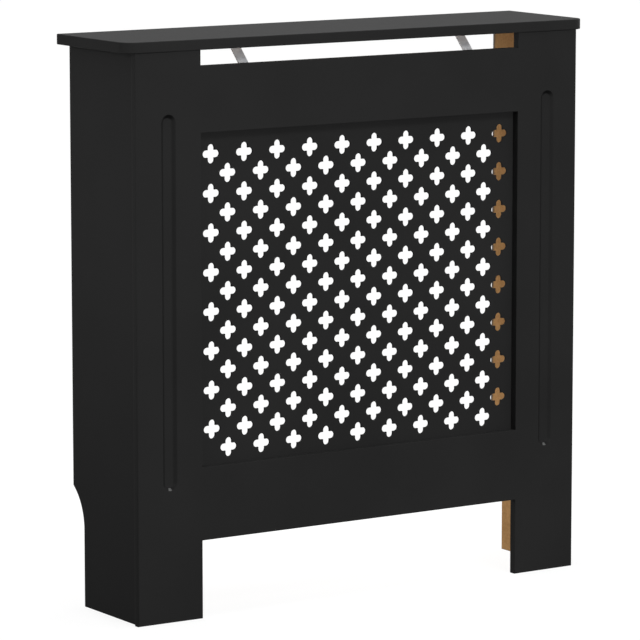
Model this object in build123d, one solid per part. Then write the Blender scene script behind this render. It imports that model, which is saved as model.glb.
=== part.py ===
"""Radiator cover cabinet: a flat-pack board casing that stands round a wall radiator.

Frame: +Z up, the front faces -Y and +X is to the right when seen from the front.
The origin is on the floor, under the middle of the shelf. All sizes are millimetres.
"""
from build123d import *
import math
import os

# ---- Shelf ------------------------------------------------------------------------
shelf_width = 780.0
shelf_depth = 190.0
shelf_thickness = 15.0
shelf_corner_radius = 20.0       # the two front corners, seen from above
shelf_end_overhang = 15.0        # past the front board's ends
shelf_front_overhang = 1.5       # past the front board's face
shelf_back_overhang = 1.5        # past the side panels' back edges

# ---- Boards -----------------------------------------------------------------------
body_height = 800.0              # floor to the shelf's underside
front_thickness = 12.0
front_edge_radius = 2.0          # the front board's two upright outer edges
side_thickness = 12.0
side_inset = 4.0                 # side panel's outer face, in from the front board's end

# ---- Front board: its openings ----------------------------------------------------
stile_width = 105.0              # the uprights left and right of every opening
slot_height = 22.0               # warm-air slot under the shelf
top_rail_height = 92.5
bottom_rail_height = 104.0
arch_height = 111.5              # floor to the bottom rail, cold air comes in here

# ---- Front board: the routed groove down each stile --------------------------------
groove_width = 23.0
groove_floor = 13.0              # flat bottom between the sloping walls
groove_depth = 4.0
groove_overrun = 28.0            # past the window's top and bottom edges

# ---- Side panels: room for the skirting board of the wall --------------------------
skirting_depth = 30.0
skirting_height = 112.0
skirting_curve_radius = 74.0

# ---- Grille ------------------------------------------------------------------------
grille_thickness = 3.0
grille_overlap = 20.0            # onto the back of the front board, all round
hole_length = 28.0               # a hole's height, and its width
hole_arm = 11.4                  # width of each arm of the cross
hole_pitch_x = 27.36             # column to column
hole_pitch_z = 27.7              # row to row: a column has every second row
hole_margin = 20.0               # least distance from a hole's centre to the window's edge
hole_pattern_drop = 4.5          # the pattern sits this far below the window's centre

# ---- Steel fittings ----------------------------------------------------------------
strip_thickness = 2.0
strip_width = 16.0
strip_bend_radius = 2.0          # inside of every bend
brace_spacing = 382.0            # the two shelf braces, centre to centre
brace_angle = 45.0               # a brace's middle stretch, from upright, in degrees
brace_start = 3.0                # a brace leaves the top rail this far below the slot
brace_tab = 22.0                 # each flat end
bracket_leg = 25.0
corner_bracket_drop = 100.0      # upper corner bracket, below the shelf's underside
corner_bracket_rise = 150.0      # lower corner bracket, above the floor
wall_bracket_drop = 70.0
wall_hole_diameter = 5.0

# ---- Screws and dowels, drawn with few sides because there are many -----------------
fastener_sides = 6
screw_length = 12.0              # under the head
screw_diameter = 3.5
screw_head_diameter = 7.0
screw_head_height = 2.0
screw_clearance = 0.25           # all round, in a steel strip
pilot_clearance = 0.05           # all round, in a board
hole_end_gap = 0.5               # beyond the tip of a screw or dowel
dowel_diameter = 6.0
dowel_length = 30.0
dowel_in_face = 8.0              # length held by the board that meets it with its face
dowel_end_distance = 60.0        # outer dowels of the front joints, from the board's ends
shelf_dowel_spacing = 100.0

# ---- Places that follow from them ---------------------------------------------------
front_width = shelf_width - 2 * shelf_end_overhang
front_y = -shelf_depth / 2 + shelf_front_overhang
front_back_y = front_y + front_thickness
side_back_y = shelf_depth / 2 - shelf_back_overhang
side_outer_x = front_width / 2 - side_inset
side_inner_x = side_outer_x - side_thickness
side_middle_x = side_outer_x - side_thickness / 2
window_width = front_width - 2 * stile_width
window_bottom = arch_height + bottom_rail_height
rail_top = body_height - slot_height
window_height = rail_top - top_rail_height - window_bottom
window_middle = window_bottom + window_height / 2
brace_run = (slot_height + brace_start) * math.tan(math.radians(brace_angle))
sides = {"left": -1, "right": 1}


def upright(y):
    """Drawing plane at depth y: its x is the row's X, its y is up, it faces the front."""
    return Plane.XZ.offset(-y)


def panel(width, low, high):
    """Upright rectangle, centred on X, between two heights."""
    return Pos(0, (low + high) / 2) * Rectangle(width, high - low)


def round_bar(radius, low, high):
    """Straight round bar along a plane's normal, from low to high, with few sides."""
    section = RegularPolygon(radius, fastener_sides, major_radius=False)
    return Pos(0, 0, low) * extrude(section, high - low)


# ---- Where the fasteners go. Each seat is a plane on the face that the screw's head ----
# ---- rests on, looking outwards along the screw.                                    ----
def corner_bracket_heights():
    return corner_bracket_rise, body_height - corner_bracket_drop


def leg_seats(corner, inward, away, height):
    """Seats on an angle bracket's two legs: on the side panel, and on the other board."""
    x, y = corner
    middle = (bracket_leg + strip_thickness) / 2
    on_side = Plane((x + inward * strip_thickness, y + away * middle, height), z_dir=(inward, 0, 0))
    on_board = Plane((x + inward * middle, y + away * strip_thickness, height), z_dir=(0, away, 0))
    return on_side, on_board


def corner_seats(side):
    """Seats of the brackets between a side panel and the front board, low bracket first."""
    corner = (side * side_inner_x, front_back_y)
    return [leg_seats(corner, -side, 1, height) for height in corner_bracket_heights()]


def wall_seats(side):
    """Seats on the wall bracket: on the side panel, and on the leg that meets the wall."""
    corner = (side * side_inner_x, side_back_y)
    return leg_seats(corner, -side, -1, body_height - wall_bracket_drop)


def brace_seats(side):
    """Seats on a shelf brace: on the front board's back, and under the shelf."""
    x = side * brace_spacing / 2
    rail_height = rail_top - brace_start - brace_tab / 2
    shelf_y = front_back_y + brace_run + brace_tab / 2
    on_rail = Plane((x, front_back_y + strip_thickness, rail_height), z_dir=(0, 1, 0))
    on_shelf = Plane((x, shelf_y, body_height - strip_thickness), z_dir=(0, 0, -1))
    return on_rail, on_shelf


def front_dowels(side):
    """Planes on the joint between front board and side panel, looking into the front board."""
    low, high = dowel_end_distance, body_height - dowel_end_distance
    heights = (low, (low + high) / 2, high)
    return [Plane((side * side_middle_x, front_back_y, z), z_dir=(0, -1, 0)) for z in heights]


def shelf_dowels(side):
    """Planes on the joint between side panel and shelf, looking up into the shelf."""
    middle = (front_back_y + side_back_y) / 2
    places = (middle - shelf_dowel_spacing / 2, middle + shelf_dowel_spacing / 2)
    return [Plane((side * side_middle_x, y, body_height), z_dir=(0, 0, 1)) for y in places]


# ---- Fasteners, and the holes that take them ------------------------------------------
def screw(seat):
    head = round_bar(screw_head_diameter / 2, 0, screw_head_height)
    shank = round_bar(screw_diameter / 2, -screw_length, 0)
    return seat * (head + shank)


def strip_hole(seat):
    """Clearance hole for a screw, through a steel strip."""
    return seat * round_bar(screw_diameter / 2 + screw_clearance, -strip_thickness, 0)


def pilot_hole(seat):
    """Hole for a screw's shank in the board behind the strip."""
    radius = screw_diameter / 2 + pilot_clearance
    return seat * round_bar(radius, -screw_length - hole_end_gap, -strip_thickness)


def dowel(joint):
    return joint * round_bar(dowel_diameter / 2, dowel_in_face - dowel_length, dowel_in_face)


def dowel_hole(joint):
    """Both halves of a dowel's hole: each board is cut by the half that lies in it."""
    low, high = dowel_in_face - dowel_length - hole_end_gap, dowel_in_face + hole_end_gap
    return joint * round_bar(dowel_diameter / 2 + pilot_clearance, low, high)


# ---- Boards ---------------------------------------------------------------------------
def top_shelf():
    outline = Rectangle(shelf_width, shelf_depth)
    front_corners = outline.vertices().group_by(Axis.Y)[0]
    board = Pos(0, 0, body_height) * extrude(fillet(front_corners, shelf_corner_radius), shelf_thickness)
    holes = [pilot_hole(brace_seats(side)[1]) for side in sides.values()]
    holes += [dowel_hole(joint) for side in sides.values() for joint in shelf_dowels(side)]
    return board - holes


def groove(side):
    """Flat-bottomed channel with sloping walls and round ends, in the middle of a stile."""
    slope = math.degrees(math.atan((groove_width - groove_floor) / 2 / groove_depth))
    length = window_height + 2 * groove_overrun
    stile_middle = side * (front_width - stile_width) / 2
    lip = Pos(stile_middle, window_middle) * SlotOverall(length, groove_width, rotation=90)
    return extrude(upright(front_y) * lip, -groove_depth, taper=slope)


def front_board():
    outline = panel(front_width, 0, body_height)
    slot = panel(window_width, rail_top, body_height)
    window = panel(window_width, window_bottom, window_bottom + window_height)
    arch = panel(window_width, 0, arch_height)
    board = extrude(upright(front_back_y) * (outline - [slot, window, arch]), front_thickness)
    outer = board.edges().filter_by(Axis.Z).group_by(Axis.Y)[0].sort_by(Axis.X)
    board = fillet([outer[0], outer[-1]], front_edge_radius)
    for side in sides.values():
        board -= groove(side)
        board -= pilot_hole(brace_seats(side)[0])
        board -= [pilot_hole(on_board) for _, on_board in corner_seats(side)]
        board -= [dowel_hole(joint) for joint in front_dowels(side)]
    return board


def side_panel(side):
    depth = side_back_y - front_back_y
    outline = Pos(front_back_y + depth / 2, body_height / 2) * Rectangle(depth, body_height)
    skirting_y = side_back_y - skirting_depth
    notch = Pos(skirting_y + skirting_depth / 2, skirting_height / 2)
    notch *= Rectangle(skirting_depth, skirting_height)
    curve = Pos(skirting_y + skirting_curve_radius, skirting_height) * Circle(skirting_curve_radius)
    face = Plane.YZ.offset(side * side_middle_x) * (outline - [notch, curve])
    board = extrude(face, side_thickness / 2, both=True)
    board -= [pilot_hole(on_side) for on_side, _ in corner_seats(side)]
    board -= pilot_hole(wall_seats(side)[0])
    board -= [dowel_hole(joint) for joint in front_dowels(side) + shelf_dowels(side)]
    return board


# ---- Grille ---------------------------------------------------------------------------
def cross_hole():
    """Two crossed bars with half-hexagon ends: few sides, because the hole repeats."""
    end = RegularPolygon(hole_arm / 2, 6, major_radius=False)
    reach = (hole_length - end.bounding_box().size.X) / 2
    bar = Rectangle(2 * reach, hole_arm) + [Pos(x, 0) * end for x in (-reach, reach)]
    return bar + Rot(0, 0, 90) * bar


def hole_places():
    """Every second crossing of a grid of columns and rows, as many as the window takes."""
    columns = int((window_width - 2 * hole_margin) / hole_pitch_x) + 1
    rows = int((window_height - 2 * hole_margin) / hole_pitch_z) + 1
    left = -(columns - 1) * hole_pitch_x / 2
    top = window_middle - hole_pattern_drop + (rows - 1) * hole_pitch_z / 2
    crossings = [(column, row) for column in range(columns) for row in range(column % 2, rows, 2)]
    return [(left + column * hole_pitch_x, top - row * hole_pitch_z) for column, row in crossings]


def grille_panel():
    low = window_bottom - grille_overlap
    high = window_bottom + window_height + grille_overlap
    sheet = panel(window_width + 2 * grille_overlap, low, high)
    hole = cross_hole()
    pattern = sheet - [Pos(x, z) * hole for x, z in hole_places()]
    return extrude(upright(front_back_y + grille_thickness) * pattern, grille_thickness)


# ---- Steel fittings -------------------------------------------------------------------
def bent_strip(plane, *points):
    """Steel strip across a plane, bent along a line down the middle of its thickness."""
    line = FilletPolyline(*points, radius=strip_bend_radius + strip_thickness / 2)
    return extrude(plane * trace(line, strip_thickness), strip_width / 2, both=True)


def shelf_brace(side):
    """Strip with two bends: screwed to the top rail, up across the slot, and under the shelf."""
    half = strip_thickness / 2
    rail_y, shelf_y = front_back_y, front_back_y + brace_run
    lower_bend = half * math.tan(math.radians(brace_angle / 2))
    upper_bend = half * math.tan(math.radians((90 - brace_angle) / 2))
    line = [
        (rail_y + half, rail_top - brace_start - brace_tab),
        (rail_y + half, rail_top - brace_start - lower_bend),
        (shelf_y + upper_bend, body_height - half),
        (shelf_y + brace_tab, body_height - half),
    ]
    strip = bent_strip(Plane.YZ.offset(side * brace_spacing / 2), *line)
    return strip - [strip_hole(seat) for seat in brace_seats(side)]


def angle_bracket(corner, inward, away, height):
    """Strip with one leg on the side panel and one along X, bent round a corner in plan."""
    x, y = corner
    leg_x, leg_y = x + inward * strip_thickness / 2, y + away * strip_thickness / 2
    line = [(x + inward * bracket_leg, leg_y), (leg_x, leg_y), (leg_x, y + away * bracket_leg)]
    return bent_strip(Plane.XY.offset(height), *line)


def corner_bracket(side, number):
    corner = (side * side_inner_x, front_back_y)
    bracket = angle_bracket(corner, -side, 1, corner_bracket_heights()[number])
    return bracket - [strip_hole(seat) for seat in corner_seats(side)[number]]


def wall_bracket(side):
    """Holds the cabinet to the wall: its free leg has a round hole for a wall screw."""
    bracket = angle_bracket((side * side_inner_x, side_back_y), -side, -1, body_height - wall_bracket_drop)
    on_side, on_wall = wall_seats(side)
    wall_hole = on_wall * extrude(Circle(wall_hole_diameter / 2), -strip_thickness)
    return bracket - [strip_hole(on_side), wall_hole]


# ---- Every piece ----------------------------------------------------------------------
def group(solids):
    """Identical fasteners in one node, each still a solid of its own."""
    return Compound(children=solids)


def pieces():
    both = sides.values()
    made = {
        "top_shelf": top_shelf(),
        "front_board": front_board(),
        "grille_panel": grille_panel(),
        "shelf_brace_screws": group([screw(seat) for side in both for seat in brace_seats(side)]),
        "wall_bracket_screws": group([screw(wall_seats(side)[0]) for side in both]),
        "shelf_dowels": group([dowel(joint) for side in both for joint in shelf_dowels(side)]),
    }
    for name, side in sides.items():
        made[f"{name}_side_panel"] = side_panel(side)
        made[f"{name}_shelf_brace"] = shelf_brace(side)
        made[f"{name}_lower_corner_bracket"] = corner_bracket(side, 0)
        made[f"{name}_upper_corner_bracket"] = corner_bracket(side, 1)
        made[f"{name}_wall_bracket"] = wall_bracket(side)
        made[f"{name}_side_dowels"] = group([dowel(joint) for joint in front_dowels(side)])
        seats = [seat for pair in corner_seats(side) for seat in pair]
        made[f"{name}_corner_bracket_screws"] = group([screw(seat) for seat in seats])
    return made


os.makedirs("parts", exist_ok=True)
for node, shape in pieces().items():
    export_step(shape, f"parts/{node}.step")
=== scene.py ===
"""Radiator cover cabinet: a satin black board casing with a pierced grille, raw board inside.

Every piece is made in the frame of the CAD model: metres, +Z up, the grille faces -Y, and +X is
to the right when seen from the front. Sizes are written in millimetres and multiplied by MM.
"""
from math import acos, cos, degrees, floor, pi, radians, sin, sqrt, tan

import bmesh
import bpy
from mathutils import Matrix, Vector
from mathutils.geometry import normal, tessellate_polygon


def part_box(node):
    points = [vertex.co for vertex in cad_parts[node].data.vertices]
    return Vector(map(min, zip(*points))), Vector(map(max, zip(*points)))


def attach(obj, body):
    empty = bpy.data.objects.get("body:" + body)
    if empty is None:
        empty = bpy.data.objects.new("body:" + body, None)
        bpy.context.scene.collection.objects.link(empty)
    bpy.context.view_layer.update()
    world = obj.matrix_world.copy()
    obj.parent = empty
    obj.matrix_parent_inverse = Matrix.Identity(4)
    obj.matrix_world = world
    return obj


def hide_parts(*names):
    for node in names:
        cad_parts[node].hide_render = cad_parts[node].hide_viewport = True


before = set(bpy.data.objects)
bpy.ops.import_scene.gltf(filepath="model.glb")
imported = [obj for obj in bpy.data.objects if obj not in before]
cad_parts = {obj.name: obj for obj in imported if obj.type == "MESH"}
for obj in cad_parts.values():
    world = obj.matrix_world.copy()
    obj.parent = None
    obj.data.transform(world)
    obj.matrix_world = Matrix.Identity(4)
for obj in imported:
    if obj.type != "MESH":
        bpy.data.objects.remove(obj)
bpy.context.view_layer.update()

MM = 0.001
X, Y, Z = Vector((1, 0, 0)), Vector((0, 1, 0)), Vector((0, 0, 1))
SIDES = {"left": -1, "right": 1}

# ---- Boards ------------------------------------------------------------------------------
SANDED_EDGE = 0.7 * MM           # every cut edge
FRONT_CORNER = 2.2 * MM          # the front board's two upright outer edges
SHELF_EDGE = 1.2 * MM
SHELF_CORNER = 20 * MM           # seen from above
SLOT_HEIGHT = 22 * MM
ARCH_HEIGHT = 111.5 * MM
SKIRTING_DEPTH = 30 * MM
SKIRTING_HEIGHT = 112 * MM
SKIRTING_CURVE = 74 * MM
EASE_STEPS = 3
SHELF_CORNER_STEPS = 20
SKIRTING_STEPS = 16
OVERSPRAY = {                    # how far black paint drifted onto the raw board from its edges
    "front": 22 * MM,
    "side": 9 * MM,
    "shelf": 45 * MM,
    "grille": 6 * MM,
}

# ---- Routed groove -----------------------------------------------------------------------
GROOVE_WIDTH = 23 * MM
GROOVE_FLOOR = 13 * MM
GROOVE_DEPTH = 4 * MM
GROOVE_OVERRUN = 28 * MM         # past the window's top and bottom edges
GROOVE_LIP = 0.35 * MM           # worn edge where the wall meets the face
GROOVE_FOOT = 1.6 * MM           # how far the round at the wall's foot reaches each way
GROOVE_END_STEPS = 28

# ---- Grille ------------------------------------------------------------------------------
GRILLE_OVERLAP = 20 * MM         # onto the back of the front board, all round
HOLE_LENGTH = 27.3 * MM
HOLE_ARM = 10.5 * MM
HOLE_PITCH_X = 27.36 * MM
HOLE_PITCH_Z = 27.7 * MM
HOLE_MARGIN = 20 * MM
HOLE_PATTERN_DROP = 4.5 * MM
HOLE_EDGE = 0.35 * MM
HOLE_LOBE_POINTS = 9             # eight round each lobe and one in the notch after it

# ---- Steel strip, screws and dowels ------------------------------------------------------
STRIP_THICKNESS = 2 * MM
STRIP_EDGE = 0.25 * MM
STRIP_CORNER = 2.5 * MM
STRIP_BEND = 4 * MM              # outer radius
BEND_STEPS = 8
BRACE_TAB = 22 * MM
SCREW_CLEARANCE_HOLE = 2 * MM    # radius
WALL_HOLE = 2.5 * MM             # radius
SCREW_LENGTH = 12 * MM
SCREW_RADIUS = 1.75 * MM
SCREW_CORE = 1.2 * MM
SCREW_PITCH = 1.4 * MM
SCREW_RIDGE = 0.28               # half the ridge's foot, as a share of the pitch
SCREW_POINT = 3 * MM
SCREW_HEAD_RADIUS = 3.5 * MM
SCREW_HEAD_HEIGHT = 2 * MM
SCREW_HEAD_WALL = 0.25 * SCREW_HEAD_HEIGHT   # upright, below the dome
DOWEL_RADIUS = 3 * MM
DOWEL_CORNER = DOWEL_RADIUS / cos(pi / 6)    # the CAD model's dowel has six sides
DOWEL_FLUTES = 18
DOWEL_FLUTE = 0.22 * MM
DOWEL_CHAMFER = 1.2 * MM

SMOOTH_BELOW = radians(50)       # sharper folds than this keep a crisp line
MERGE_DISTANCE = 0.01 * MM
SLIVER = 0.002 * MM


# ---- Node trees --------------------------------------------------------------------------
class Wire:
    """A node's output. Sums of wires and numbers add Math nodes to the tree."""

    def __init__(self, tree, socket):
        self.tree = tree
        self.socket = socket

    def __add__(self, other):
        return self.tree.math("ADD", self, other)

    def __radd__(self, other):
        return self.tree.math("ADD", other, self)

    def __sub__(self, other):
        return self.tree.math("SUBTRACT", self, other)

    def __rsub__(self, other):
        return self.tree.math("SUBTRACT", other, self)

    def __mul__(self, other):
        return self.tree.math("MULTIPLY", self, other)

    def __rmul__(self, other):
        return self.tree.math("MULTIPLY", other, self)

    def __truediv__(self, other):
        return self.tree.math("DIVIDE", self, other)

    def __mod__(self, other):
        return self.tree.math("MODULO", self, other)

    def __lt__(self, other):
        return self.tree.math("LESS_THAN", self, other)

    def __gt__(self, other):
        return self.tree.math("GREATER_THAN", self, other)


class Tree:
    """A shader or geometry tree that is written as calls and sums."""

    def __init__(self, group):
        self.group = group

    def node(self, kind, settings=None, inputs=None, output=0):
        """Adds a node: settings first, then the value or wire of each input; returns one output."""
        made = self.group.nodes.new(kind)
        for name, value in (settings or {}).items():
            setattr(made, name, value)
        for name, value in (inputs or {}).items():
            if isinstance(value, Wire):
                self.group.links.new(value.socket, made.inputs[name])
            else:
                made.inputs[name].default_value = value
        return Wire(self, made.outputs[output]) if made.outputs else None

    def math(self, operation, *values):
        return self.node("ShaderNodeMath", {"operation": operation}, dict(enumerate(values)))

    def parts(self, vector):
        """A vector's three numbers."""
        split = self.node("ShaderNodeSeparateXYZ", inputs={0: vector}).socket.node
        return [Wire(self, socket) for socket in split.outputs]

    def vector(self, x, y, z):
        return self.node("ShaderNodeCombineXYZ", inputs={0: x, 1: y, 2: z})

    def blend(self, factor, first, second):
        """A colour between two colours."""
        return self.node("ShaderNodeMix", {"data_type": "RGBA"}, {0: factor, 6: first, 7: second}, 2)

    def between(self, value, low, high):
        """0 at low, 1 at high and a smooth step between them."""
        settings = {"interpolation_type": "SMOOTHSTEP"}
        return self.node("ShaderNodeMapRange", settings, {"Value": value, "From Min": low, "From Max": high})

    def noise(self, place, scale, detail=2.0, roughness=0.5):
        inputs = {"Vector": place, "Scale": scale, "Detail": detail, "Roughness": roughness}
        return self.node("ShaderNodeTexNoise", inputs=inputs)

    def join(self, *geometries):
        joined = self.group.nodes.new("GeometryNodeJoinGeometry")
        for geometry in geometries:
            self.group.links.new(geometry.socket, joined.inputs[0])
        return Wire(self, joined.outputs[0])


# ---- Finishes ----------------------------------------------------------------------------
def grey(level, warmth=0.0):
    """A near-neutral colour; warmth takes blue away."""
    return (level, level * (1 - warmth / 2), level * (1 - warmth), 1)


def new_material(name):
    """An empty material's tree, and the place on the piece that its patterns are made from."""
    made = bpy.data.materials.new(name)
    made.use_nodes = True
    made.node_tree.nodes.clear()
    tree = Tree(made.node_tree)
    return made, tree, tree.node("ShaderNodeTexCoord", output="Object")


def finish_surface(tree, height, **sockets):
    """Ends a material: a Principled surface whose bump is a height in metres."""
    inputs = {name.replace("_", " "): value for name, value in sockets.items()}
    inputs["Normal"] = tree.node("ShaderNodeBump", inputs={"Distance": 1.0, "Height": height})
    inputs["Specular IOR Level"] = inputs.pop("Specular", 0.5)
    shader = tree.node("ShaderNodeBsdfPrincipled", inputs=inputs)
    tree.node("ShaderNodeOutputMaterial", inputs={"Surface": shader})


def sprayed_black(tree, place, nap):
    """Colour, roughness and height of the black coat: slow drift, orange peel, nap of cut fibres."""
    drift = tree.noise(place, scale=5, detail=3)
    peel = tree.noise(place, scale=650, detail=2)
    fibre = tree.noise(place, scale=2400, detail=3, roughness=0.6)
    color = tree.blend(tree.between(0.6 * drift + 0.4 * fibre, 0.35, 0.65), PAINT_DARK, PAINT_LIGHT)
    roughness = PAINT_ROUGHNESS + 0.1 * (drift - 0.5) + 0.08 * (peel - 0.5)
    return color, roughness, PEEL_HEIGHT * peel + NAP_HEIGHT * nap * fibre


def satin_black(name, nap=0.0):
    """Sprayed black on a flat face; nap is 1 where cut fibres show through it."""
    made, tree, place = new_material(name)
    color, roughness, height = sprayed_black(tree, place, nap)
    finish_surface(tree, height, Base_Color=color, Roughness=roughness, Specular=PAINT_SPECULAR)
    return made


def routed_black(name):
    """The coat in a groove: painted shade, a darker colour on the walls that face right, up or down; run
    together at the foot.
    """
    made, tree, place = new_material(name)
    color, roughness, height = sprayed_black(tree, place, GROOVE_NAP)
    toward_right, _, up = tree.parts(tree.node("ShaderNodeTexCoord", output="Normal"))
    # painted shade: the more a wall faces right, up or down, the darker its colour is painted
    painted_shade = tree.math("MAXIMUM", 0.65 * tree.math("MAXIMUM", toward_right, up), 0 - up)
    color = tree.blend(tree.between(painted_shade, *GROOVE_SHADE_FACING), color, GROOVE_PAINTED_SHADE)
    pooled = tree.between(up, *PAINT_POOLED)
    finish_surface(tree, height, Base_Color=color, Roughness=roughness, Specular=PAINT_SPECULAR,
                   Coat_Weight=pooled, Coat_Roughness=0.12, Coat_IOR=1.9)
    return made


def border_distance(tree, across, along, rectangles):
    """Distance on a board to the nearest edge of several rectangles."""
    nearest = None
    for low, high in rectangles:
        middle = [(a + b) / 2 for a, b in zip(low, high)]
        half = [(b - a) / 2 for a, b in zip(low, high)]
        beyond = [tree.math("ABSOLUTE", value - m) - h for value, m, h in zip((across, along), middle, half)]
        distance = tree.math("ABSOLUTE", tree.math("MAXIMUM", *beyond))
        nearest = tree.math("MINIMUM", nearest, distance) if nearest else distance
    return nearest


def raw_fibreboard(name, axes, rectangles, overspray):
    """Bare brown fibreboard, with black overspray that fades inwards from the board's edges."""
    made, tree, place = new_material(name)
    cloud = tree.noise(place, scale=14, detail=4)
    clump = tree.noise(place, scale=260, detail=3, roughness=0.6)
    fibre = tree.noise(place, scale=1500, detail=3, roughness=0.65)
    board = tree.blend(tree.between(0.5 * cloud + 0.5 * clump, 0.36, 0.64), FIBRE_DARK, FIBRE_LIGHT)
    board = tree.blend(0.55 * tree.between(fibre, 0.55, 0.75), board, FIBRE_FLECK)
    coordinates = tree.parts(place)
    distance = border_distance(tree, *(coordinates[axis] for axis in axes), rectangles)
    drifted = distance + overspray * (0.7 * cloud + 0.5 * clump - 0.6)
    sprayed = 1 - tree.between(drifted, 0.1 * overspray, overspray)
    color = tree.blend(sprayed, board, PAINT_LIGHT)
    roughness = 0.88 - 0.2 * sprayed + 0.1 * (fibre - 0.5)
    height = 0.05 * MM * fibre + 0.03 * MM * clump
    finish_surface(tree, height, Base_Color=color, Roughness=roughness, Specular=0.3)
    return made


def zinc(name, bright, metallic):
    """Zinc-plated steel: soft spangle, fine rolling marks and a dull bluish grey."""
    made, tree, place = new_material(name)
    spangle = tree.noise(place, scale=120, detail=4, roughness=0.6)
    speck = tree.noise(place, scale=1600, detail=2)
    dark, light = [(*(bright * share for share in shares), 1) for shares in (ZINC_DARK, ZINC_LIGHT)]
    color = tree.blend(tree.between(spangle, 0.35, 0.65), dark, light)
    roughness = 0.42 + 0.3 * (spangle - 0.5) + 0.15 * (speck - 0.5)
    height = 0.006 * MM * speck + 0.01 * MM * spangle
    finish_surface(tree, height, Base_Color=color, Roughness=roughness, Metallic=metallic)
    return made


def beech(name):
    """Pale beech with short brown flecks."""
    made, tree, place = new_material(name)
    grain = tree.noise(place, scale=500, detail=3, roughness=0.6)
    fleck = tree.noise(place, scale=1900, detail=2)
    color = tree.blend(tree.between(grain, 0.35, 0.65), BEECH_DARK, BEECH_LIGHT)
    color = tree.blend(0.5 * tree.between(fleck, 0.58, 0.7), color, BEECH_FLECK)
    height = 0.03 * MM * grain + 0.02 * MM * fleck
    finish_surface(tree, height, Base_Color=color, Roughness=0.6 + 0.2 * (grain - 0.5))
    return made


PAINT_DARK = grey(0.0185)
PAINT_LIGHT = grey(0.0225)
# painted shade for the groove's walls that face right, up or down
GROOVE_PAINTED_SHADE = grey(0.005)
PAINT_ROUGHNESS = 0.58
PAINT_SPECULAR = 0.02
GROOVE_SHADE_FACING = (0.15, 0.6)       # facing right, up or down: from the full colour to the painted shade
PAINT_POOLED = (0.585, 0.62)     # facing up: from an even coat to one that has run together
PEEL_HEIGHT = 0.010 * MM
NAP_HEIGHT = 0.02 * MM
GROOVE_NAP = 0.3
FIBRE_DARK = (0.40, 0.213, 0.070, 1)
FIBRE_LIGHT = (0.52, 0.296, 0.112, 1)
FIBRE_FLECK = (0.30, 0.146, 0.047, 1)
ZINC_DARK = (0.82, 0.84, 0.88)   # shares of the plating's brightness
ZINC_LIGHT = (1, 1, 1.02)
BEECH_DARK = (0.48, 0.29, 0.14, 1)
BEECH_LIGHT = (0.62, 0.42, 0.24, 1)
BEECH_FLECK = (0.28, 0.14, 0.06, 1)


# ---- Outlines: lists of (x, y, ease), anticlockwise round the board ----------------------
def arc(centre, radius, start, sweep, ease, steps):
    """Points of an arc, from the angle start and on through sweep, both in degrees."""
    angles = [radians(start + sweep * step / steps) for step in range(steps + 1)]
    return [Vector((centre[0] + radius * cos(a), centre[1] + radius * sin(a), ease)) for a in angles]


def rounded_rectangle(low, high, radius, ease, steps=6):
    """A rectangle between two corners, its own corners rounded."""
    (left, bottom), (right, top) = low, high
    points = arc((left + radius, bottom + radius), radius, 180, 90, ease, steps)
    points += arc((right - radius, bottom + radius), radius, 270, 90, ease, steps)
    points += arc((right - radius, top - radius), radius, 0, 90, ease, steps)
    return points + arc((left + radius, top - radius), radius, 90, 90, ease, steps)


def round_hole(centre, radius, ease, steps=24):
    """A hole runs the other way round."""
    return arc(centre, radius, 0, 360, ease, steps)[:0:-1]


def polygon(points, ease):
    """Straight-sided outline, with one ease at every corner."""
    return [Vector((*point, ease)) for point in points]


def mirrored(outline):
    """The outline on the other side of x = 0, still anticlockwise."""
    return [Vector((-point.x, point.y, point.z)) for point in reversed(outline)]


def mitre(outline, i):
    """How far a point moves for each unit that its two edges move into the board."""
    here = outline[i].xy
    before = (here - outline[i - 1].xy).normalized()
    after = (outline[(i + 1) % len(outline)].xy - here).normalized()
    left = Vector((-before.y - after.y, before.x + after.x)).normalized()
    return left / left.dot(Vector((-after.y, after.x)))


# ---- Boards and strips, swept and filled -------------------------------------------------
FACE, CUT, BACK, ROUTED = range(4)   # material slots: show face, cut edge, far side, groove


def facing(origin, right, up):
    """Puts plan (x, y) and depth into the room. Depth runs into the board, away from the viewer."""
    into = -right.cross(up)
    return Matrix.Translation(origin) @ Matrix((right, up, into)).transposed().to_4x4()


def eased_edge(thickness):
    """Section of a board's edge for a given ease, as (distance into the board, depth)."""
    angles = [pi / 2 * step / EASE_STEPS for step in range(EASE_STEPS + 1)]
    quarter = [(1 - sin(a), 1 - cos(a)) for a in angles]

    def section(ease):
        near = [(ease * into, ease * deep) for into, deep in quarter]
        return near + [(into, thickness - deep) for into, deep in reversed(near)]
    return section


def rounded_turn(start, corner, end, steps=4):
    """Points of a curve that leaves start towards the corner and arrives at end."""
    shares = [step / steps for step in range(steps + 1)]
    return [start.lerp(corner, share).lerp(corner.lerp(end, share), share) for share in shares]


def groove_wall(ease):
    """Section of the groove's sloping wall, from its lip to its flat floor."""
    lip, foot = Vector((0, 0)), Vector(((GROOVE_FLOOR - GROOVE_WIDTH) / 2, GROOVE_DEPTH))
    slope = (foot - lip).normalized()
    wall = rounded_turn(lip + X.xy * ease, lip, lip + slope * ease)
    return wall + rounded_turn(foot - slope * GROOVE_FOOT, foot, foot - X.xy * GROOVE_FOOT)


def sweep(bm, outline, section, place, material=CUT):
    """Sweeps a section round a closed outline; returns its first and last ring of vertices."""
    columns = []
    for i, point in enumerate(outline):
        step = mitre(outline, i)
        spots = [(*(point.xy + step * into), depth) for into, depth in section(point.z)]
        columns.append([bm.verts.new(place @ Vector(spot)) for spot in spots])
    for here, ahead in zip(columns, columns[1:] + columns[:1]):
        for row in range(len(here) - 1):
            face = bm.faces.new((here[row], here[row + 1], ahead[row + 1], ahead[row]))
            face.material_index = material
    return [column[0] for column in columns], [column[-1] for column in columns]


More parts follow.
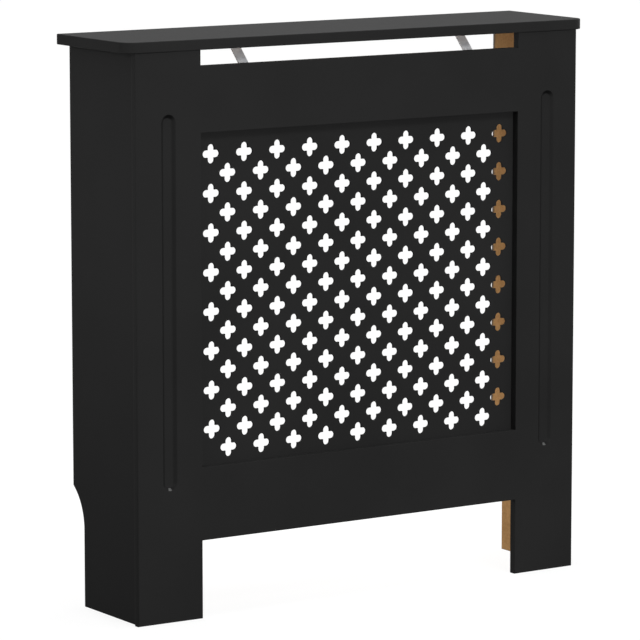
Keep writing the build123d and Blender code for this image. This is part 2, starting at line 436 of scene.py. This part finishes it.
def fill(bm, rings, toward, material):
    """Closes the flat area between rings of vertices, facing the given way."""
    corners = [vert for ring in rings for vert in ring]
    for triangle in tessellate_polygon([[vert.co for vert in ring] for ring in rings]):
        verts = [corners[i] for i in triangle]
        if normal([vert.co for vert in verts]).dot(toward) < 0:
            verts.reverse()
        bm.faces.new(verts).material_index = material


def plate(outline, openings, thickness, place, grooves=()):
    """A board or strip with eased edges: its outline, its openings and its blind grooves."""
    bm = bmesh.new()
    outward = -place.to_3x3().col[2]
    edges = [sweep(bm, loop, eased_edge(thickness), place) for loop in [outline, *openings]]
    walls = [sweep(bm, loop, groove_wall, place, ROUTED) for loop in grooves]
    fill(bm, [near for near, far in edges + walls], outward, FACE)
    fill(bm, [far for near, far in edges], -outward, BACK)
    for near, far in walls:
        fill(bm, [far], outward, ROUTED)
    return bm


def new_object(name, data):
    """A new object in the scene that shows a mesh, or is a camera or a lamp."""
    made = bpy.data.objects.new(name, data)
    bpy.context.scene.collection.objects.link(made)
    return made


def object_from(bm, name, materials):
    """A bmesh as an object with its materials."""
    mesh = bpy.data.meshes.new(name)
    bm.to_mesh(mesh)
    bm.free()
    for material in materials:
        mesh.materials.append(material)
    return new_object(name, mesh)


def settle(obj):
    """Applies the object's modifiers, so that it holds one plain mesh."""
    depsgraph = bpy.context.evaluated_depsgraph_get()
    mesh = bpy.data.meshes.new_from_object(obj.evaluated_get(depsgraph), depsgraph=depsgraph)
    obj.modifiers.clear()
    obj.data = mesh
    mesh.name = obj.name
    while None in list(mesh.materials):
        mesh.materials.pop(index=list(mesh.materials).index(None))


def shade(obj):
    """Smooth faces, crisp lines where the surface really folds, and flat faces that stay flat."""
    bm = bmesh.new()
    bm.from_mesh(obj.data)
    bmesh.ops.dissolve_degenerate(bm, dist=SLIVER, edges=bm.edges)
    for face in bm.faces:
        face.smooth = True
    for edge in bm.edges:
        edge.smooth = edge.calc_face_angle(pi) < SMOOTH_BELOW
    bm.to_mesh(obj.data)
    bm.free()
    modifier = obj.modifiers.new("weighted_normals", "WEIGHTED_NORMAL")
    modifier.keep_sharp = True
    settle(obj)


def install(obj, slot, *nodes):
    """Puts a finished piece in the cabinet, in place of the CAD nodes it stands for."""
    shade(obj)
    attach(obj, "root")
    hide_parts(*nodes)


# ---- The boards --------------------------------------------------------------------------
def window_of_front():
    """The window's lowest and highest corner in the front board, in (x, z)."""
    low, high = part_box("grille_panel")
    lowest = low.x + GRILLE_OVERLAP, low.z + GRILLE_OVERLAP
    highest = high.x - GRILLE_OVERLAP, high.z - GRILLE_OVERLAP
    return lowest, highest


def groove_outline(side):
    """A slot with round ends down the middle of a stile, run round as a hole is."""
    (_, bottom), (right, top) = window_of_front()
    middle = side * (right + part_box("front_board")[1].x) / 2
    radius = GROOVE_WIDTH / 2
    low, high = bottom - GROOVE_OVERRUN + radius, top + GROOVE_OVERRUN - radius
    ends = arc((middle, high), radius, 0, 180, GROOVE_LIP, GROOVE_END_STEPS)
    ends += arc((middle, low), radius, 180, 180, GROOVE_LIP, GROOVE_END_STEPS)
    return ends[::-1]


def front_outline():
    """The board between floor and shelf, with the arch at the floor and the slot at the top."""
    low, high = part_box("front_board")
    opening = window_of_front()[1][0]
    half = [(opening, low.z), (high.x, low.z), (high.x, high.z), (opening, high.z)]
    half = [(opening, ARCH_HEIGHT), *half, (opening, high.z - SLOT_HEIGHT)]
    right = polygon(half, SANDED_EDGE)
    for point in right:
        if point.x == high.x:
            point.z = FRONT_CORNER
    return right + mirrored(right)


def front_rectangles():
    """The board's outline and its three openings, as rectangles in (x, z).

    An opening that breaks an edge of the board reaches as far beyond that edge.
    """
    low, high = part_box("front_board")
    window = window_of_front()
    left, right = window[0][0], window[1][0]
    arch = ((left, low.z - ARCH_HEIGHT), (right, ARCH_HEIGHT))
    slot = ((left, high.z - SLOT_HEIGHT), (right, high.z + SLOT_HEIGHT))
    return [((low.x, low.z), (high.x, high.z)), window, arch, slot]


def front_board(face, cut, routed):
    """Stiles and rails in one board, with the window and two grooves."""
    low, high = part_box("front_board")
    (left, bottom), (right, top) = window_of_front()
    window = polygon([(left, bottom), (left, top), (right, top), (right, bottom)], SANDED_EDGE)
    place = facing(Y * low.y, X, Z)
    grooves = [groove_outline(side) for side in SIDES.values()]
    bm = plate(front_outline(), [window], high.y - low.y, place, grooves)
    raw = raw_fibreboard("front_board_back", (0, 2), front_rectangles(), OVERSPRAY["front"])
    install(object_from(bm, "routed_front", [face, cut, raw, routed]), "painted_board", "front_board")


def side_board(name, side, face, cut):
    """A side with its lower back corner cut away for the wall's skirting board."""
    low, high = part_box(f"{name}_side_panel")
    skirting = high.y - SKIRTING_DEPTH
    curve_middle = skirting + SKIRTING_CURVE
    turn = degrees(acos(1 - SKIRTING_DEPTH / SKIRTING_CURVE))
    outline = polygon([(low.y, low.z), (skirting, low.z)], SANDED_EDGE)
    outline += arc((curve_middle, SKIRTING_HEIGHT), SKIRTING_CURVE, 180, -turn, SANDED_EDGE, SKIRTING_STEPS)
    outline += polygon([(high.y, high.z), (low.y, high.z)], SANDED_EDGE)
    outer = high.x if side > 0 else low.x
    place = facing(X * outer, Y * side, Z)
    bm = plate(outline if side > 0 else mirrored(outline), [], high.x - low.x, place)
    no_overspray_below = low.z - 1
    edges = [((low.y, no_overspray_below), (high.y, high.z))]
    raw = raw_fibreboard(f"{name}_side_inside", (1, 2), edges, OVERSPRAY["side"])
    install(object_from(bm, f"{name}_side", [face, cut, raw]), "painted_board", f"{name}_side_panel")


def shelf_board(face, cut):
    """The shelf, with its two front corners rounded."""
    low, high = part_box("top_shelf")
    corner, steps = SHELF_CORNER, SHELF_CORNER_STEPS
    outline = arc((low.x + corner, low.y + corner), corner, 180, 90, SHELF_EDGE, steps)
    outline += arc((high.x - corner, low.y + corner), corner, 270, 90, SHELF_EDGE, steps)
    outline += polygon([(high.x, high.y), (low.x, high.y)], SHELF_EDGE)
    bm = plate(outline, [], high.z - low.z, facing(Z * high.z, X, Y))
    edges = [((low.x, low.y), (high.x, high.y))]
    raw = raw_fibreboard("shelf_underside", (0, 1), edges, OVERSPRAY["shelf"])
    install(object_from(bm, "shelf", [face, cut, raw]), "painted_board", "top_shelf")


# ---- What grows from geometry nodes ------------------------------------------------------
SOCKETS = {int: "NodeSocketInt", float: "NodeSocketFloat", bpy.types.Object: "NodeSocketObject",
           bpy.types.Material: "NodeSocketMaterial"}


def geometry_tree(name, values):
    """A geometry tree with one named input for each value, and the wires of those inputs."""
    group = bpy.data.node_groups.new(name, "GeometryNodeTree")
    group.interface.new_socket("Geometry", in_out="INPUT", socket_type="NodeSocketGeometry")
    for label, value in values.items():
        group.interface.new_socket(label, in_out="INPUT", socket_type=SOCKETS[type(value)])
    group.interface.new_socket("Geometry", in_out="OUTPUT", socket_type="NodeSocketGeometry")
    tree = Tree(group)
    source = group.nodes.new("NodeGroupInput")
    return tree, {label: Wire(tree, source.outputs[label]) for label in ["Geometry", *values]}


def grow(name, host, tree, values):
    """Runs a geometry tree on a host mesh and keeps its result as a plain mesh."""
    made = new_object(name, host)
    modifier = made.modifiers.new("grow", "NODES")
    modifier.node_group = tree.group
    inputs = [item for item in tree.group.interface.items_tree if item.in_out == "INPUT"]
    for item in inputs:
        if item.name in values:
            modifier[item.identifier] = values[item.name]
    settle(made)
    return made


def end_tree(tree, geometry, coats):
    """Ends a geometry tree with Realize Instances and a Set Material for each (material, where)."""
    geometry = tree.node("GeometryNodeRealizeInstances", inputs={"Geometry": geometry})
    for material, where in coats:
        inputs = {"Geometry": geometry, "Selection": where, "Material": material}
        geometry = tree.node("GeometryNodeSetMaterial", inputs=inputs)
    tree.node("NodeGroupOutput", inputs={"Geometry": geometry})


def tube_rows(tree):
    """1 on the front row of a three-row tube, and 1 on its front and middle rows."""
    row = tree.parts(tree.node("GeometryNodeInputPosition"))[2]
    return row > 0.5, row > -0.5


def three_row_tube(tree, around, position):
    """An open tube of three rows of vertices, each moved to the position given for it."""
    inputs = {"Vertices": around, "Side Segments": 2, "Radius": 1.0, "Depth": 2.0}
    tube = tree.node("GeometryNodeMeshCylinder", {"fill_type": "NONE"}, inputs)
    return tree.node("GeometryNodeSetPosition", inputs={"Geometry": tube, "Position": position})


def hole_lining(tree, size):
    """Wall of one four-lobed hole: each quarter is a half circle and the notch that follows it."""
    front, upper = tube_rows(tree)
    lobe = size["Lobe Points"]
    around = tree.node("GeometryNodeInputIndex") % (4 * lobe)
    quarter = tree.math("FLOOR", (around + 0.5) / lobe)
    step = around - quarter * lobe
    angle = (step / (lobe - 2) - 0.5) * pi
    on_lobe = step < lobe - 1.5
    radius = size["Arm Width"] / 2 + front * size["Edge"]
    reach = (size["Hole Length"] - size["Arm Width"]) / 2
    x = on_lobe * (reach + radius * tree.math("COSINE", angle)) + (1 - on_lobe) * radius
    y = on_lobe * radius * tree.math("SINE", angle) + (1 - on_lobe) * radius
    turn = quarter * (pi / 2)
    across, up = tree.math("COSINE", turn), tree.math("SINE", turn)
    level = front * size["Edge"] + upper * (size["Thickness"] - size["Edge"])
    position = tree.vector(x * across - y * up, x * up + y * across, level)
    tube = three_row_tube(tree, 4 * lobe, position)
    return tree.node("GeometryNodeFlipFaces", inputs={"Mesh": tube})


def sheet_rim(tree, size):
    """The sheet's four outer edges."""
    front, upper = tube_rows(tree)
    x, y, _ = tree.parts(tree.node("GeometryNodeInputPosition"))
    inward = front * size["Edge"]
    level = inward + upper * (size["Thickness"] - size["Edge"])
    half_width, half_height = size["Width"] / 2 - inward, size["Height"] / 2 - inward
    position = tree.vector((x - y) * half_width, (x + y) * half_height, level)
    return three_row_tube(tree, 4, position)


def pierced_sheet_tree(values):
    """The grille: rims of the sheet and its holes, and two faces filled between them."""
    tree, size = geometry_tree("pierced_sheet", values)
    wide, high = (size["Columns"] - 1) * size["Pitch X"], (size["Rows"] - 1) * size["Pitch Z"]
    inputs = {"Size X": wide, "Size Y": high, "Vertices X": size["Columns"], "Vertices Y": size["Rows"]}
    grid = tree.node("GeometryNodeMeshGrid", inputs=inputs)
    x, y, z = tree.parts(tree.node("GeometryNodeInputPosition"))
    column, row = (x + wide / 2) / size["Pitch X"], (high / 2 - y) / size["Pitch Z"]
    every_second = (column + row + 0.5) % 2 < 1
    inputs = {"Points": grid, "Selection": every_second, "Instance": hole_lining(tree, size)}
    linings = tree.node("GeometryNodeInstanceOnPoints", inputs=inputs)
    inputs = {"Geometry": linings, "Translation": tree.vector(0.0, 0 - size["Pattern Drop"], 0.0)}
    linings = tree.node("GeometryNodeTransform", inputs=inputs)
    walls = tree.node("GeometryNodeRealizeInstances", inputs={0: tree.join(linings, sheet_rim(tree, size))})

    open_edge = tree.node("GeometryNodeInputMeshEdgeNeighbors") < 1.5
    at_front = z > size["Thickness"] / 2
    front = filled(tree, walls, open_edge * at_front)
    lift = tree.vector(0.0, 0.0, size["Thickness"])
    front = tree.node("GeometryNodeSetPosition", inputs={"Geometry": front, "Offset": lift})
    back = tree.node("GeometryNodeFlipFaces", inputs={0: filled(tree, walls, open_edge * (1 - at_front))})
    inputs = {"Geometry": tree.join(walls, front, back), "Distance": MERGE_DISTANCE}
    sheet = tree.node("GeometryNodeMergeByDistance", inputs=inputs)
    stand = {"Geometry": sheet, "Translation": tree.vector(0.0, size["Back"], size["Middle"]),
             "Rotation": (pi / 2, 0, 0)}
    sheet = tree.node("GeometryNodeTransform", inputs=stand)
    toward_wall = tree.parts(tree.node("GeometryNodeInputNormal"))[1]
    coats = [(size["Paint"], True), (size["Cut Paint"], toward_wall > -0.5),
             (size["Bare Back"], toward_wall > 0.5)]
    end_tree(tree, sheet, coats)
    return tree


def filled(tree, walls, edges):
    """A flat face between the chosen open edges of some walls."""
    curves = tree.node("GeometryNodeMeshToCurve", inputs={"Mesh": walls, "Selection": edges})
    return tree.node("GeometryNodeFillCurve", inputs={"Curve": curves})


def grille(face, cut):
    """As many rows and columns of holes as the window has room for."""
    low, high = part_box("grille_panel")
    (left, bottom), (right, top) = window_of_front()
    columns = floor((right - left - 2 * HOLE_MARGIN) / HOLE_PITCH_X) + 1
    rows = floor((top - bottom - 2 * HOLE_MARGIN) / HOLE_PITCH_Z) + 1
    edges = [((low.x, low.z), (high.x, high.z))]
    values = {
        "Width": high.x - low.x, "Height": high.z - low.z, "Thickness": high.y - low.y, "Edge": HOLE_EDGE,
        "Columns": columns, "Rows": rows, "Pitch X": HOLE_PITCH_X, "Pitch Z": HOLE_PITCH_Z,
        "Pattern Drop": HOLE_PATTERN_DROP, "Hole Length": HOLE_LENGTH, "Arm Width": HOLE_ARM,
        "Lobe Points": HOLE_LOBE_POINTS, "Back": high.y, "Middle": (low.z + high.z) / 2,
        "Paint": face, "Cut Paint": cut,
        "Bare Back": raw_fibreboard("grille_back", (0, 2), edges, OVERSPRAY["grille"]),
    }
    sheet = grow("pierced_grille", bpy.data.meshes.new("seed"), pierced_sheet_tree(values), values)
    install(sheet, "painted_grille", "grille_panel")


# ---- Folded steel strip ------------------------------------------------------------------
def folded(start, along, inside, runs, bend):
    """Where a point of the flat strip goes: straight runs with the same bend between them.

    Distance is measured on the strip's outer surface, and depth towards the inside of the bends.
    """
    def place(distance, depth):
        point, ahead, inner = start, along, inside
        for run in runs[:-1]:
            if distance <= run:
                break
            point, distance = point + ahead * run, distance - run
            angle = min(distance / STRIP_BEND, bend)
            centre = point + inner * STRIP_BEND
            ahead, inner = ahead * cos(angle) + inner * sin(angle), inner * cos(angle) - ahead * sin(angle)
            point, distance = centre - inner * STRIP_BEND, distance - angle * STRIP_BEND
        return point + ahead * distance + inner * depth
    return place


def strip(name, start, along, inside, width, runs, bend, holes, steel, node):
    """A flat strip with rounded corners and round holes, folded to its shape."""
    curved = bend * STRIP_BEND
    length = sum(runs) + curved * (len(runs) - 1)
    outline = rounded_rectangle((0, -width / 2), (length, width / 2), STRIP_CORNER, STRIP_EDGE)
    openings = [round_hole((distance, 0), radius, STRIP_EDGE) for distance, radius in holes]
    bm = plate(outline, openings, STRIP_THICKNESS, facing(Vector(), X, Y))
    for i in range(len(runs) - 1):
        first = sum(runs[:i + 1]) + curved * i
        for step in range(BEND_STEPS + 1):
            parts = bm.verts[:] + bm.edges[:] + bm.faces[:]
            station = X * (first + curved * step / BEND_STEPS)
            bmesh.ops.bisect_plane(bm, geom=parts, plane_co=station, plane_no=X, dist=MERGE_DISTANCE / 10)
    place, across = folded(start, along, inside, runs, bend), along.cross(inside)
    for vert in bm.verts:
        distance, aside, depth = vert.co.x, vert.co.y, -vert.co.z
        vert.co = place(distance, depth) + across * aside
    install(object_from(bm, name, [steel] * 3), "zinc_steel", node)


def shelf_brace(name, steel):
    """From the back of the top rail, up at 45 degrees across the slot, and under the shelf."""
    low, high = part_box(f"{name}_shelf_brace")
    bend = pi / 4
    setback = STRIP_BEND * tan(bend / 2)
    slope = sqrt(2) * (high.z - low.z - BRACE_TAB)
    runs = [BRACE_TAB - setback, slope - 2 * setback, BRACE_TAB - setback]
    length = sum(runs) + 2 * bend * STRIP_BEND
    holes = [(BRACE_TAB / 2, SCREW_CLEARANCE_HOLE), (length - BRACE_TAB / 2, SCREW_CLEARANCE_HOLE)]
    start = Vector(((low.x + high.x) / 2, low.y, low.z))
    strip(f"{name}_brace_strip", start, Z, Y, high.x - low.x, runs, bend, holes, steel, f"{name}_shelf_brace")


def bracket_corner(node, side, away):
    """The corner that an angle bracket folds round, and the length of its legs."""
    low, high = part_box(node)
    corner = Vector((high.x if side > 0 else low.x, low.y if away > 0 else high.y, (low.z + high.z) / 2))
    return corner, high.x - low.x


def angle_bracket(node, side, away, free_hole, steel):
    """One leg on the side board and one along X; away is +1 for legs that run towards the wall."""
    corner, leg = bracket_corner(node, side, away)
    low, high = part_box(node)
    run, curved = leg - STRIP_BEND, pi / 2 * STRIP_BEND
    from_corner = (leg + STRIP_THICKNESS) / 2
    holes = [(leg - from_corner, SCREW_CLEARANCE_HOLE), (run + curved + from_corner - STRIP_BEND, free_hole)]
    start = corner + Y * away * leg
    strip(node.replace("bracket", "angle"), start, Y * -away, X * -side, high.z - low.z, [run, run], pi / 2,
          holes, steel, node)


# ---- Screws and dowels -------------------------------------------------------------------
def skin(bm, rings):
    """Joins rings of vertices into a closed skin; a ring of one vertex is a pole."""
    for low, high in zip(rings, rings[1:]):
        count = max(len(low), len(high))
        for i in range(count):
            near = [low[i % len(low)], low[(i + 1) % len(low)]]
            far = [high[(i + 1) % len(high)], high[i % len(high)]]
            bm.faces.new(list(dict.fromkeys(near + far)))


def thread_radius(height, angle):
    """Radius of the shank: a core with one helical ridge, drawn in to the point."""
    turn = (height / SCREW_PITCH - angle / (2 * pi)) % 1
    ridge = max(0.0, 1 - abs(turn - 0.5) / SCREW_RIDGE)
    taper = min(1.0, (height + SCREW_LENGTH) / SCREW_POINT)
    return taper * (SCREW_CORE + (SCREW_RADIUS - SCREW_CORE) * ridge)


def screw_blank(sides=24, rows_per_turn=8, dome_steps=6):
    """Threaded shank below z = 0 and a domed head above it, before the recess is struck."""
    bm = bmesh.new()
    angles = [2 * pi * i / sides for i in range(sides)]

    def ring(radius, height):
        spots = [Vector((radius(a) * cos(a), radius(a) * sin(a), height)) for a in angles]
        return [bm.verts.new(spot) for spot in spots]
    rings = [[bm.verts.new(Z * -SCREW_LENGTH)]]
    rows = floor(SCREW_LENGTH / SCREW_PITCH * rows_per_turn)
    for row in range(1, rows + 1):
        height = SCREW_LENGTH * (row / rows - 1)
        rings.append(ring(lambda angle: thread_radius(height, angle), height))
    rings.append(ring(lambda angle: SCREW_HEAD_RADIUS - STRIP_EDGE, 0))
    for step in range(dome_steps):
        rise = pi / 2 * step / dome_steps
        height = SCREW_HEAD_WALL + (SCREW_HEAD_HEIGHT - SCREW_HEAD_WALL) * sin(rise)
        rings.append(ring(lambda angle: SCREW_HEAD_RADIUS * cos(rise), height))
    rings.append([bm.verts.new(Z * SCREW_HEAD_HEIGHT)])
    skin(bm, rings)
    return object_from(bm, "screw_blank", [])


def cross_punch(reach=1.9 * MM, half_width=0.45 * MM, depth=1.3 * MM, taper=0.28 * MM):
    """Tapered cross that strikes the head's recess."""
    corner = Vector((half_width, half_width))
    quarter = [Vector((reach, -half_width)), Vector((reach, half_width)), corner]
    points = [Matrix.Rotation(turn * pi / 2, 2) @ point for turn in range(4) for point in quarter]
    bm = bmesh.new()
    place = facing(Z * (SCREW_HEAD_HEIGHT + taper), X, Y)
    near, far = sweep(bm, polygon(points, 0), lambda ease: [(0, 0), (taper, depth + taper)], place)
    fill(bm, [near], Z, FACE)
    fill(bm, [far], -Z, FACE)
    return object_from(bm, "cross_punch", [])


def cross_head_screw():
    """One pan-head screw with a cross recess: the pattern that every seat repeats."""
    blank, punch = screw_blank(), cross_punch()
    strike = blank.modifiers.new("strike", "BOOLEAN")
    strike.object = punch
    strike.solver = "EXACT"
    settle(blank)
    bpy.data.objects.remove(punch)
    return blank


def at_seats(tree, points, instance, seed=None):
    """A copy of the instance at every point, its Z along the point's facing, turned at random."""
    toward = tree.node("GeometryNodeInputNamedAttribute", {"data_type": "FLOAT_VECTOR"}, {"Name": "facing"})
    rotation = tree.node("FunctionNodeAlignRotationToVector", {"axis": "Z"}, {"Vector": toward})
    inputs = {"Points": points, "Instance": instance, "Rotation": rotation}
    copies = tree.node("GeometryNodeInstanceOnPoints", inputs=inputs)
    if seed is None:
        return copies
    settings = {"data_type": "FLOAT"}
    twist = tree.node("FunctionNodeRandomValue", settings, {2: 0.0, 3: 2 * pi, "Seed": seed}, 1)
    inputs = {"Instances": copies, "Rotation": tree.vector(0.0, 0.0, twist)}
    return tree.node("GeometryNodeRotateInstances", inputs=inputs)


def screws_tree(values):
    """Screws driven into every seat, each stopped at its own angle."""
    tree, size = geometry_tree("screws_at_seats", values)
    pattern = tree.node("GeometryNodeObjectInfo", inputs={"Object": size["Screw"]}, output="Geometry")
    end_tree(tree, at_seats(tree, size["Geometry"], pattern, size["Seed"]), [(size["Steel"], True)])
    return tree


def fluted_dowels_tree(values):
    """Fluted dowels with chamfered ends, centred on every seat."""
    tree, size = geometry_tree("fluted_dowels", values)
    inputs = {"Points": size["Flutes"], "Inner Radius": size["Radius"] - size["Flute"],
              "Outer Radius": size["Radius"]}
    section = tree.node("GeometryNodeCurveStar", inputs=inputs)
    line = tree.node("GeometryNodeCurvePrimitiveLine")
    line = tree.node("GeometryNodeResampleCurve", inputs={"Curve": line, "Count": 4})
    place = tree.node("GeometryNodeInputIndex")
    at_end = (place < 0.5) + (place > 2.5)
    height = ((place > 1.5) * 2 - 1) * (size["Length"] / 2 - size["Chamfer"] * (1 - at_end))
    inputs = {"Geometry": line, "Position": tree.vector(0.0, 0.0, height)}
    line = tree.node("GeometryNodeSetPosition", inputs=inputs)
    narrowed = 1 - at_end * (size["Chamfer"] / 2 / size["Radius"])
    inputs = {"Curve": line, "Profile Curve": section, "Scale": narrowed, "Fill Caps": True}
    dowel = tree.node("GeometryNodeCurveToMesh", inputs=inputs)
    end_tree(tree, at_seats(tree, size["Geometry"], dowel), [(size["Wood"], True)])
    return tree


def seat_mesh(seats):
    """A mesh with one vertex on each seat and the way that it faces."""
    mesh = bpy.data.meshes.new("seats")
    mesh.from_pydata([point for point, _ in seats], [], [])
    toward = mesh.attributes.new("facing", "FLOAT_VECTOR", "POINT")
    for row, (_, direction) in zip(toward.data, seats):
        row.vector = direction
    return mesh


def brace_seats():
    """On the strip: behind the top rail facing the wall, and under the shelf facing the floor."""
    seats = []
    for name in SIDES:
        low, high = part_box(f"{name}_shelf_brace")
        x = (low.x + high.x) / 2
        seats.append((Vector((x, low.y + STRIP_THICKNESS, low.z + BRACE_TAB / 2)), Y))
        seats.append((Vector((x, high.y - BRACE_TAB / 2, high.z - STRIP_THICKNESS)), -Z))
    return seats


def bracket_seats(node, side, away):
    """On an angle bracket's two legs: the one on the side board first."""
    corner, leg = bracket_corner(node, side, away)
    inward, backward = X * -side, Y * away
    middle = (leg + STRIP_THICKNESS) / 2
    return [(corner + inward * STRIP_THICKNESS + backward * middle, inward),
            (corner + inward * middle + backward * STRIP_THICKNESS, backward)]


def screws(steel):
    """The screws of the braces, the wall brackets and the corner brackets."""
    pattern = cross_head_screw()
    groups = {"shelf_brace_screws": brace_seats(), "wall_bracket_screws": []}
    for name, side in SIDES.items():
        groups["wall_bracket_screws"] += bracket_seats(f"{name}_wall_bracket", side, -1)[:1]
        corners = [f"{name}_{level}_corner_bracket" for level in ("lower", "upper")]
        seats = [seat for node in corners for seat in bracket_seats(node, side, 1)]
        groups[f"{name}_corner_bracket_screws"] = seats
    for seed, (node, seats) in enumerate(groups.items()):
        values = {"Screw": pattern, "Seed": seed, "Steel": steel}
        host = seat_mesh(seats)
        made = grow(node.replace("screws", "cross_head_screws"), host, screws_tree(values), values)
        install(made, "screw_steel", node)
    bpy.data.objects.remove(pattern)


def dowels(wood):
    """Dowels of the front joints lie along Y, three to a side; those of the shelf stand."""
    groups = {}
    for name in SIDES:
        low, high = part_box(f"{name}_side_dowels")
        middle = (low + high) / 2
        heights = (low.z + DOWEL_CORNER, middle.z, high.z - DOWEL_CORNER)
        seats = [(Vector((middle.x, middle.y, z)), Y) for z in heights]
        groups[f"{name}_side_dowels"] = seats, high.y - low.y
    low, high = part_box("shelf_dowels")
    middle = (low + high) / 2
    columns = low.x + DOWEL_CORNER, high.x - DOWEL_CORNER
    depths = low.y + DOWEL_RADIUS, high.y - DOWEL_RADIUS
    seats = [(Vector((x, y, middle.z)), Z) for x in columns for y in depths]
    groups["shelf_dowels"] = seats, high.z - low.z
    for node, (seats, length) in groups.items():
        values = {"Length": length, "Radius": DOWEL_RADIUS, "Flutes": DOWEL_FLUTES, "Flute": DOWEL_FLUTE,
                  "Chamfer": DOWEL_CHAMFER, "Wood": wood}
        host = seat_mesh(seats)
        made = grow(node.replace("dowels", "fluted_dowels"), host, fluted_dowels_tree(values), values)
        install(made, "beech", node)


# ---- Studio ------------------------------------------------------------------------------
CAMERA_PLACE = Vector((-3.2312, -4.9078, 1.2842))
CAMERA_YAW = 33.26               # degrees to the right of straight at the front
CAMERA_PITCH = 8.655             # degrees down
CAMERA_LENS = 231.28
CAMERA_REACH = 200               # metres
FLOOR_SIZE = 90                  # metres
FLOOR_DROP = 0.2 * MM            # clear of the boards that stand on it
FLOOR_GREY = 0.12
FLOOR_LIFT = (0.90, 0.97)        # near the cabinet, and away from it
FLOOR_LIFT_REACH = (0.7, 2.5)    # metres
AMBIENT = 0.3
LAMPS = {                        # place, aim, width in metres, power in watts, spread in degrees
    "key_softbox": ((0.0, -3.6, 0.6), (0, 0, 0.4), 1.2, 56, 180),
    "high_softbox": ((0.2, -3.2, 3.6), (0, 0, 0.4), 1.2, 46, 180),
    "left_softbox": ((-1.4, 0.1, 0.9), (-0.37, 0, 0.56), 0.6, 0.96, 66),
    "right_softbox": ((1.4, 0.1, 0.9), (0.37, 0, 0.56), 0.6, 0.8, 66),
    "top_softbox": ((0.1, -0.1, 2.6), (0, 0, 0.6), 1.2, 38, 180),
    "back_softbox": ((-0.15, 1.1, 0.75), (0.05, 0.2, -0.1), 0.4, 5.2, 150),
    "low_back_softbox": ((0.1, 1.1, 0.5), (0.33, 0.05, -0.15), 0.4, 0.95, 50),
}


def camera():
    """At the photograph's viewing angle."""
    data = bpy.data.cameras.new("camera")
    data.lens = CAMERA_LENS
    data.clip_end = CAMERA_REACH
    made = new_object("camera", data)
    made.location = CAMERA_PLACE
    made.rotation_euler = (radians(90 - CAMERA_PITCH), 0, radians(-CAMERA_YAW))
    bpy.context.scene.camera = made


def seen_directly(tree):
    """1 for rays that show the background: straight, mirrored or through glass."""
    path = tree.node("ShaderNodeLightPath", output="Is Camera Ray")
    outputs = path.socket.node.outputs
    for name in ("Is Glossy Ray", "Is Transmission Ray"):
        path = tree.math("MAXIMUM", path, Wire(tree, outputs[name]))
    return path


def white_room():
    """White wherever it is seen, and a softer grey light on everything."""
    world = bpy.data.worlds.new("white_room")
    world.use_nodes = True
    world.node_tree.nodes.clear()
    tree = Tree(world.node_tree)
    strength = AMBIENT + (1 - AMBIENT) * seen_directly(tree)
    shader = tree.node("ShaderNodeBackground", inputs={"Color": (1, 1, 1, 1), "Strength": strength})
    tree.node("ShaderNodeOutputWorld", inputs={"Surface": shader})
    bpy.context.scene.world = world


def pale_floor():
    """A pale floor that takes the cabinet's shadow and reads as white beyond it."""
    half = FLOOR_SIZE / 2
    mesh = bpy.data.meshes.new("floor")
    corners = [(-half, -half, 0), (half, -half, 0), (half, half, 0), (-half, half, 0)]
    mesh.from_pydata(corners, [], [(0, 1, 2, 3)])
    mesh.transform(Matrix.Translation(Z * -FLOOR_DROP))
    made, tree, place = new_material("pale_floor")
    distance = tree.node("ShaderNodeVectorMath", {"operation": "LENGTH"}, {0: place}, "Value")
    away = tree.between(distance, *FLOOR_LIFT_REACH)
    lift = tree.blend(away, *(grey(level) for level in FLOOR_LIFT))
    glow = tree.blend(seen_directly(tree), grey(0), lift)
    inputs = {"Base Color": grey(FLOOR_GREY), "Roughness": 1.0, "Specular IOR Level": 0.0,
              "Emission Color": glow, "Emission Strength": 1.0}
    shader = tree.node("ShaderNodeBsdfPrincipled", inputs=inputs)
    tree.node("ShaderNodeOutputMaterial", inputs={"Surface": shader})
    mesh.materials.append(made)
    new_object("floor", mesh)


def softbox(name, place, aim, width, power, spread):
    """A round area lamp; a spread under 180 degrees narrows its beam, as a grid does."""
    data = bpy.data.lights.new(name, "AREA")
    data.shape = "DISK"
    data.size = width
    data.energy = power
    data.spread = radians(spread)
    made = new_object(name, data)
    made.location = place
    made.rotation_euler = (Vector(aim) - Vector(place)).to_track_quat("-Z", "Y").to_euler()


def studio():
    """White room, pale floor and soft lamps."""
    white_room()
    pale_floor()
    for name, lamp in LAMPS.items():
        softbox(name, *lamp)


# ---- Assembly ----------------------------------------------------------------------------
def build():
    """Makes the finishes and then every piece of the cabinet."""
    face = satin_black("satin_black")
    cut = satin_black("satin_black_on_cut_edge", nap=1.0)
    routed = routed_black("satin_black_in_groove")
    strip_zinc = zinc("zinc_strip", bright=0.72, metallic=0.1)
    screw_zinc = zinc("zinc_screw", bright=0.6, metallic=0.9)
    front_board(face, cut, routed)
    shelf_board(face, cut)
    grille(face, cut)
    for name, side in SIDES.items():
        side_board(name, side, face, cut)
        shelf_brace(name, strip_zinc)
        angle_bracket(f"{name}_lower_corner_bracket", side, 1, SCREW_CLEARANCE_HOLE, strip_zinc)
        angle_bracket(f"{name}_upper_corner_bracket", side, 1, SCREW_CLEARANCE_HOLE, strip_zinc)
        angle_bracket(f"{name}_wall_bracket", side, -1, WALL_HOLE, strip_zinc)
    screws(screw_zinc)
    dowels(beech("fluted_beech"))


build()
studio()
camera()
bpy.context.scene.view_settings.view_transform = "Standard"
